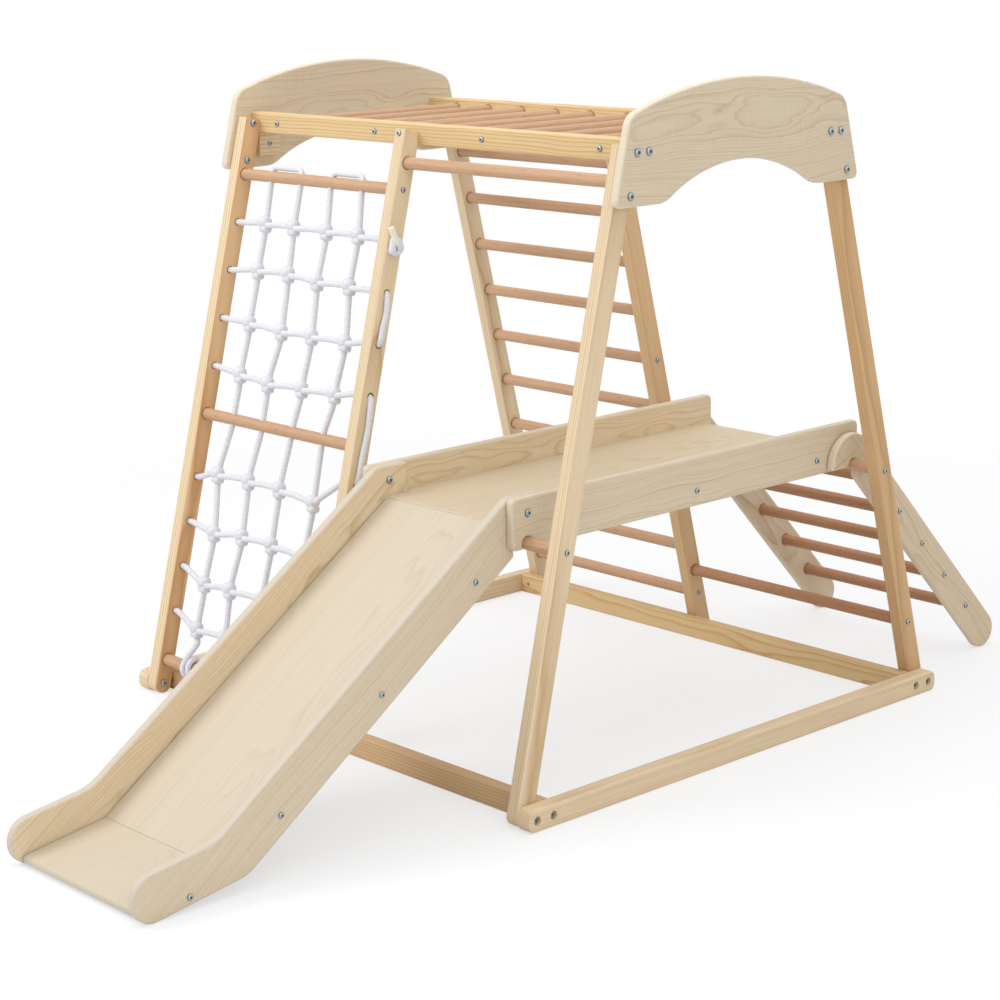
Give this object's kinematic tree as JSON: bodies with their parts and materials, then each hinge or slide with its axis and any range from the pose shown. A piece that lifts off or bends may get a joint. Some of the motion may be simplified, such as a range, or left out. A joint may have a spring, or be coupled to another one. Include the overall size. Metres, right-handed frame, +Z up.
{
  "type": "indoor climbing frame",
  "caption": "Indoor wooden climbing frame with leaning posts, monkey bars, rope net, back rung wall, platform with slide and hook-on ladder.",
  "frame": {"origin": "middle of the footprint of the whole object, on the floor", "axes": "+Z up, +X along the top rails towards the slide's bay, -Y towards the slide's run-out, +Y towards the ladder"},
  "size_m": [1.264, 2.4408, 1.398],
  "materials": {
    "pine": "clear satin, straight grain",
    "beech": "clear satin, fine flecks",
    "board": "clear satin laminated board",
    "pale_board": "smooth pale board",
    "rope": "braided",
    "clip": "smooth moulded",
    "zinc": "zinc plated"
  },
  "bodies": {
    "frame": {"front_left_post": "pine", "front_middle_post": "pine", "front_right_post": "pine", "back_left_post": "pine", "back_middle_post": "pine", "back_right_post": "pine", "front_top_rail": "pine", "back_top_rail": "pine", "left_end_panel": "board", "right_end_panel": "board", "left_base_rail": "pine", "right_base_rail": "pine", "front_base_rail": "pine", "back_base_rail": "pine", "monkey_bar_1": "beech", "monkey_bar_2": "beech", "monkey_bar_3": "beech", "monkey_bar_4": "beech", "monkey_bar_5": "beech", "monkey_bar_6": "beech", "monkey_bar_7": "beech", "monkey_bar_8": "beech", "monkey_bar_9": "beech", "monkey_bar_10": "beech", "back_wall_rungs": "beech", "net_top_rung": "beech", "net_middle_rung": "beech", "net_bottom_rung": "beech", "front_grab_bar": "beech", "front_carry_bar": "beech", "back_carry_bar": "beech", "back_low_rung": "beech", "net_left_loop": "rope", "net_right_loop": "rope", "net_crossing_rope": "rope", "net_clips": "clip", "rail_cleats": "pine", "panel_bolts": "zinc", "cap_nuts": "zinc", "base_bolts": "zinc", "barrel_nuts": "zinc", "rung_bolts": "zinc", "cleat_screws": "zinc"},
    "slide_unit": {"platform_left_board": "board", "platform_right_board": "board", "platform_floor": "pale_board", "slide_left_board": "board", "slide_right_board": "board", "slide_surface": "pale_board", "slide_runout": "pale_board", "slide_bolts": "zinc", "deck_screws": "zinc"},
    "ladder": {"ladder_left_rail": "board", "ladder_right_rail": "board", "ladder_rung_1": "beech", "ladder_rung_2": "beech", "ladder_rung_3": "beech", "ladder_rung_4": "beech", "ladder_rung_5": "beech", "ladder_bolts": "zinc"}
  },
  "joints": [
    {"name": "slide_lift", "type": "slide", "parent": "frame", "child": "slide_unit", "axis": [0, 0, 1], "range_m": [0, 0.1]},
    {"name": "ladder_swing", "type": "hinge", "parent": "frame", "child": "ladder", "pos_m": [0.27075, 0.69451, 0.515], "axis": [1, 0, 0], "range_deg": [0, 46]}
  ]
}
